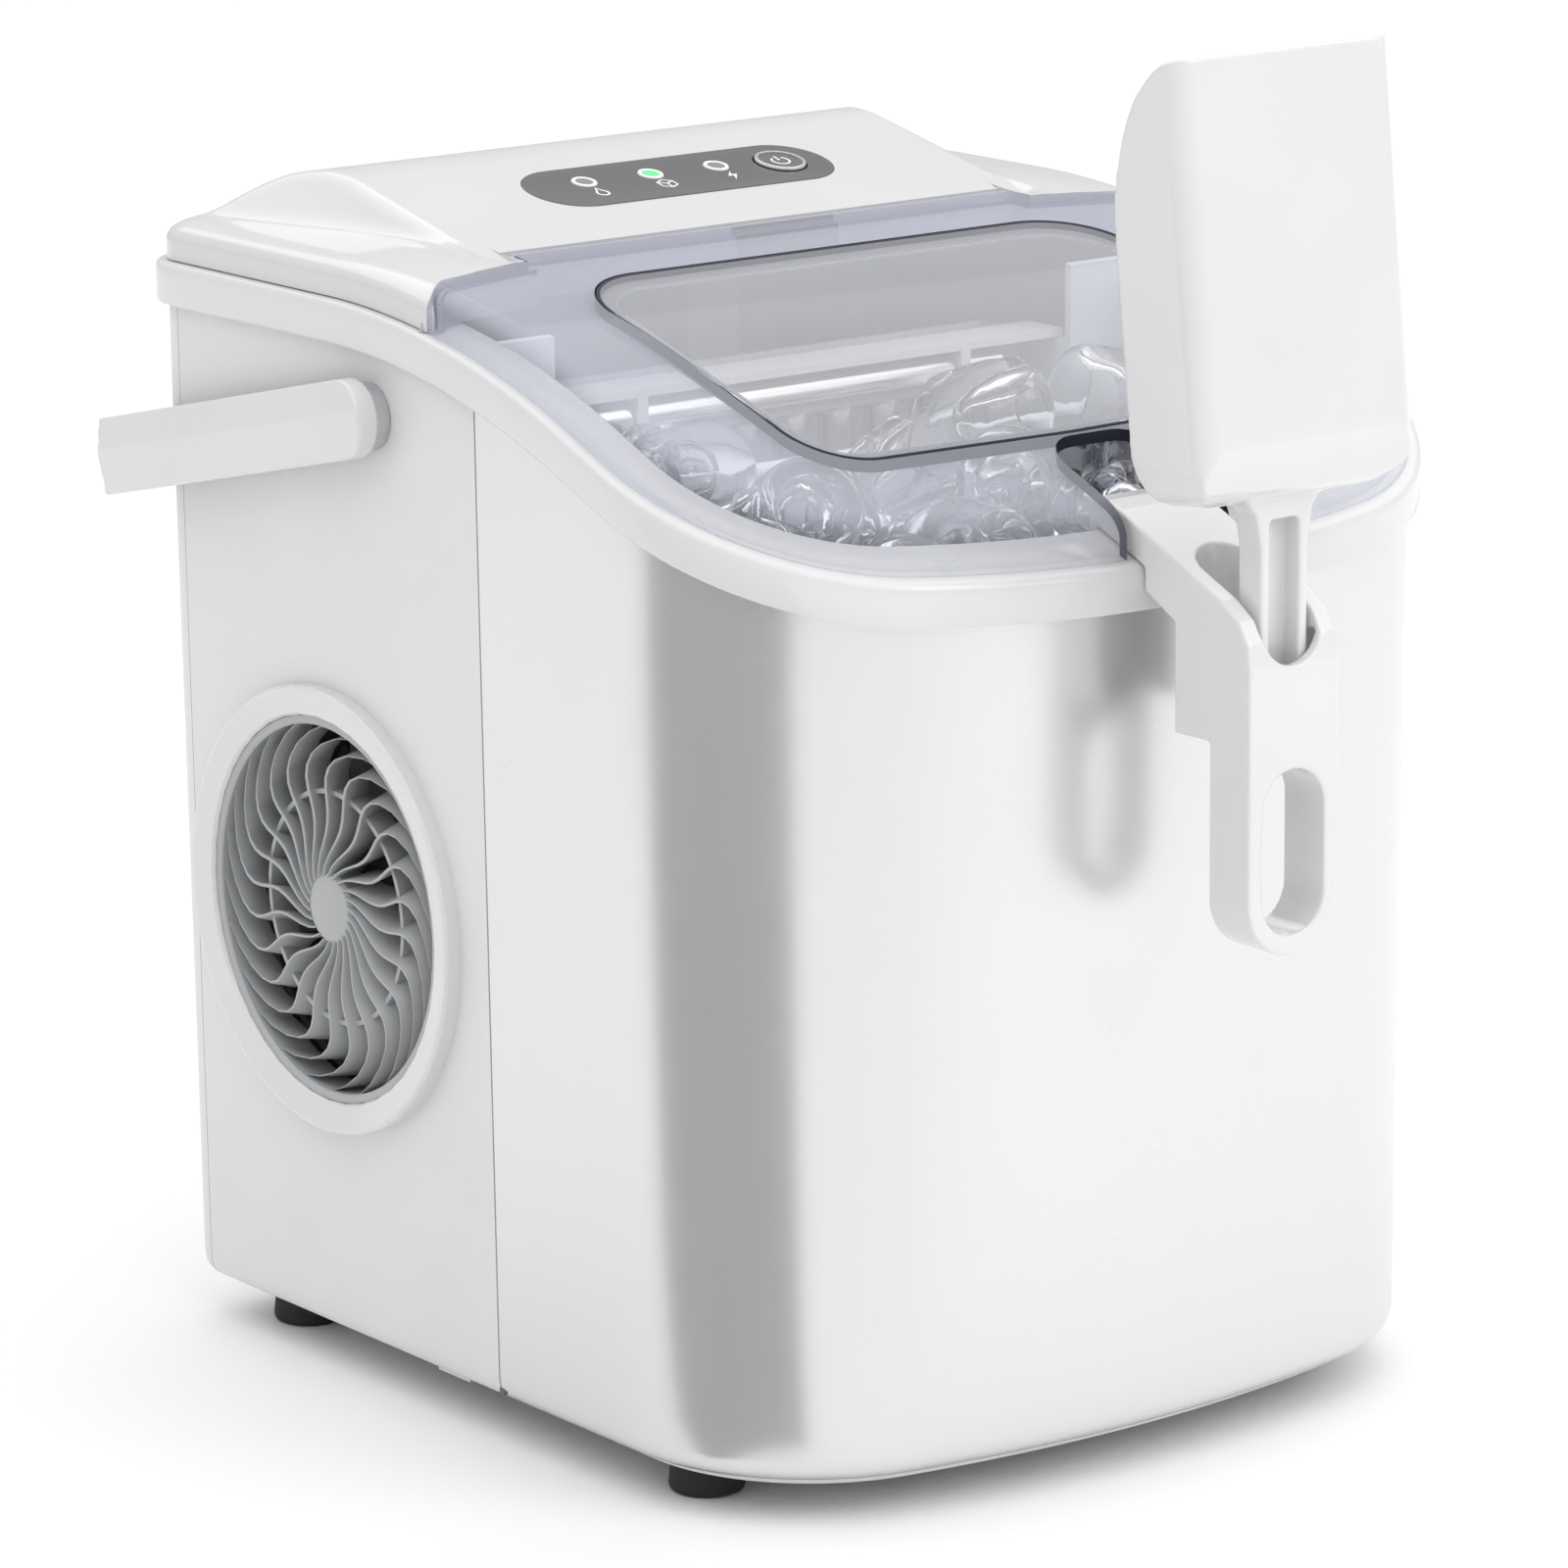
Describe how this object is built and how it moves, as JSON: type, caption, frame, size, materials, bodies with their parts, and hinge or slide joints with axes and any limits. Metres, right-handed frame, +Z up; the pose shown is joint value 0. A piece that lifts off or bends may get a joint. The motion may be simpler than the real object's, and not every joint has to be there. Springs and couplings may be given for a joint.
{
  "type": "ice maker",
  "caption": "Countertop ice maker with a sloping hinged clear lid, round side vents, folding carry handle, control strip, and an ice scoop hung on the front",
  "frame": {"origin": "centre of the overall bounding box, at the height of the feet's undersides", "axes": "+Z up, -Y towards the front where the scoop hangs, +X to the machine's right seen from the front"},
  "size_m": [0.2428, 0.3086, 0.3374],
  "materials": {
    "shell_white": "glossy white moulded plastic",
    "panel_silver": "satin silver-white coated sheet",
    "side_white": "fine-textured off-white plastic",
    "cover_grey": "light grey gloss plastic",
    "grille_grey": "mid-grey plastic",
    "panel_dark": "dark grey gloss overlay",
    "button_dark": "dark grey button with a silver ring",
    "lamp_clear": "frosted lamp lens",
    "lamp_green": "lit green lamp lens",
    "lid_smoke": "smoky transparent plastic",
    "window_clear": "clear transparent plastic",
    "liner_grey": "cool grey tub plastic",
    "basket_grey": "translucent grey-white plastic",
    "foam": "expanded foam",
    "zinc": "zinc-plated steel sheet",
    "nickel": "nickel-plated copper",
    "copper": "drawn copper tube",
    "aluminium": "thin aluminium fins",
    "black_paint": "black enamel",
    "dark_plastic": "black moulded plastic",
    "rubber": "black rubber",
    "board_green": "green circuit board",
    "cable_grey": "grey ribbon cable",
    "hose_clear": "milky silicone hose",
    "ice": "clear ice with frosted cores"
  },
  "bodies": {
    "housing": {"base_pan": "side_white", "feet": "rubber", "front_wrap": "panel_silver", "left_side_panel": "side_white", "right_side_panel": "side_white", "rear_panel": "side_white", "top_rim": "shell_white", "top_cover": "cover_grey", "control_panel": "panel_dark", "lens_add_water": "lamp_clear", "lens_ice_full": "lamp_green", "lens_power": "lamp_clear", "control_board": "board_green", "panel_cable": "cable_grey", "lid_hinge_pins": "zinc", "inner_liner": "liner_grey", "insulation": "foam", "bulkhead": "zinc", "evaporator": "nickel", "evaporator_plate": "side_white", "tray_motor": "dark_plastic", "ice_full_sensors": "dark_plastic", "water_pump": "dark_plastic", "pump_hose": "hose_clear", "water_level_sensor": "side_white", "compressor": "black_paint", "compressor_grommets": "rubber", "condenser_fins": "aluminium", "condenser_coil": "copper", "fan_motor": "dark_plastic", "fan_shroud": "dark_plastic", "left_vent_grille": "grille_grey", "right_vent_grille": "grille_grey", "suction_line": "copper", "discharge_line": "copper", "liquid_line": "copper", "hot_gas_line": "copper", "filter_drier": "copper", "hot_gas_valve": "dark_plastic", "board_tray": "side_white", "power_board": "board_green", "handle_pivots": "zinc", "drain_spout": "liner_grey", "cord_gland": "rubber", "rear_screws": "zinc", "base_screws": "zinc"},
    "lid": {"lid": "lid_smoke", "lid_window": "window_clear"},
    "handle": {"carry_handle": "shell_white"},
    "button": {"power_button": "button_dark"},
    "fan": {"condenser_fan": "dark_plastic"},
    "tray": {"water_tray": "basket_grey"},
    "pusher": {"ice_pusher": "basket_grey"},
    "basket": {"ice_basket": "basket_grey"},
    "holder": {"scoop_holder": "shell_white"},
    "scoop": {"scoop": "shell_white"},
    "cap": {"drain_cap": "dark_plastic"}
  },
  "joints": [
    {"name": "lid_hinge", "type": "hinge", "parent": "housing", "child": "lid", "pos_m": [0, 0.04088, 0.274], "axis": [-1, 0, 0], "range_deg": [0, 80]},
    {"name": "handle_pivot", "type": "hinge", "parent": "housing", "child": "handle", "pos_m": [0, 0.04688, 0.242], "axis": [1, 0, 0], "range_deg": [0, 100]},
    {"name": "power_button_press", "type": "slide", "parent": "housing", "child": "button", "axis": [0, 0.2162, -0.9763], "range_m": [0, 0.0008], "stiffness_N_per_m": 1500, "springref_m": -0.0004},
    {"name": "fan_spin", "type": "hinge", "parent": "housing", "child": "fan", "pos_m": [0, 0.07088, 0.118], "axis": [1, 0, 0], "continuous": true},
    {"name": "tray_tilt", "type": "hinge", "parent": "housing", "child": "tray", "pos_m": [0, 0.03088, 0.208], "axis": [1, 0, 0], "range_deg": [0, 68]},
    {"name": "pusher_swing", "type": "hinge", "parent": "housing", "child": "pusher", "pos_m": [0, 0.00588, 0.224], "axis": [-1, 0, 0], "range_deg": [0, 34]},
    {"name": "basket_lift", "type": "slide", "parent": "housing", "child": "basket", "axis": [0, 0, 1], "range_m": [0, 0.006]},
    {"name": "holder_lift", "type": "slide", "parent": "housing", "child": "holder", "axis": [0, 0, 1], "range_m": [0, 0.03]},
    {"name": "scoop_lift", "type": "slide", "parent": "holder", "child": "scoop", "axis": [0, 0, 1], "range_m": [0, 0.07]},
    {"name": "drain_cap_turn", "type": "hinge", "parent": "housing", "child": "cap", "pos_m": [-0.075, 0.14688, 0.062], "axis": [0, 1, 0], "range_deg": [0, 90]}
  ],
  "couplings": [
    {"joint": "pusher_swing", "follows": "tray_tilt", "ratio": 0.5}
  ]
}
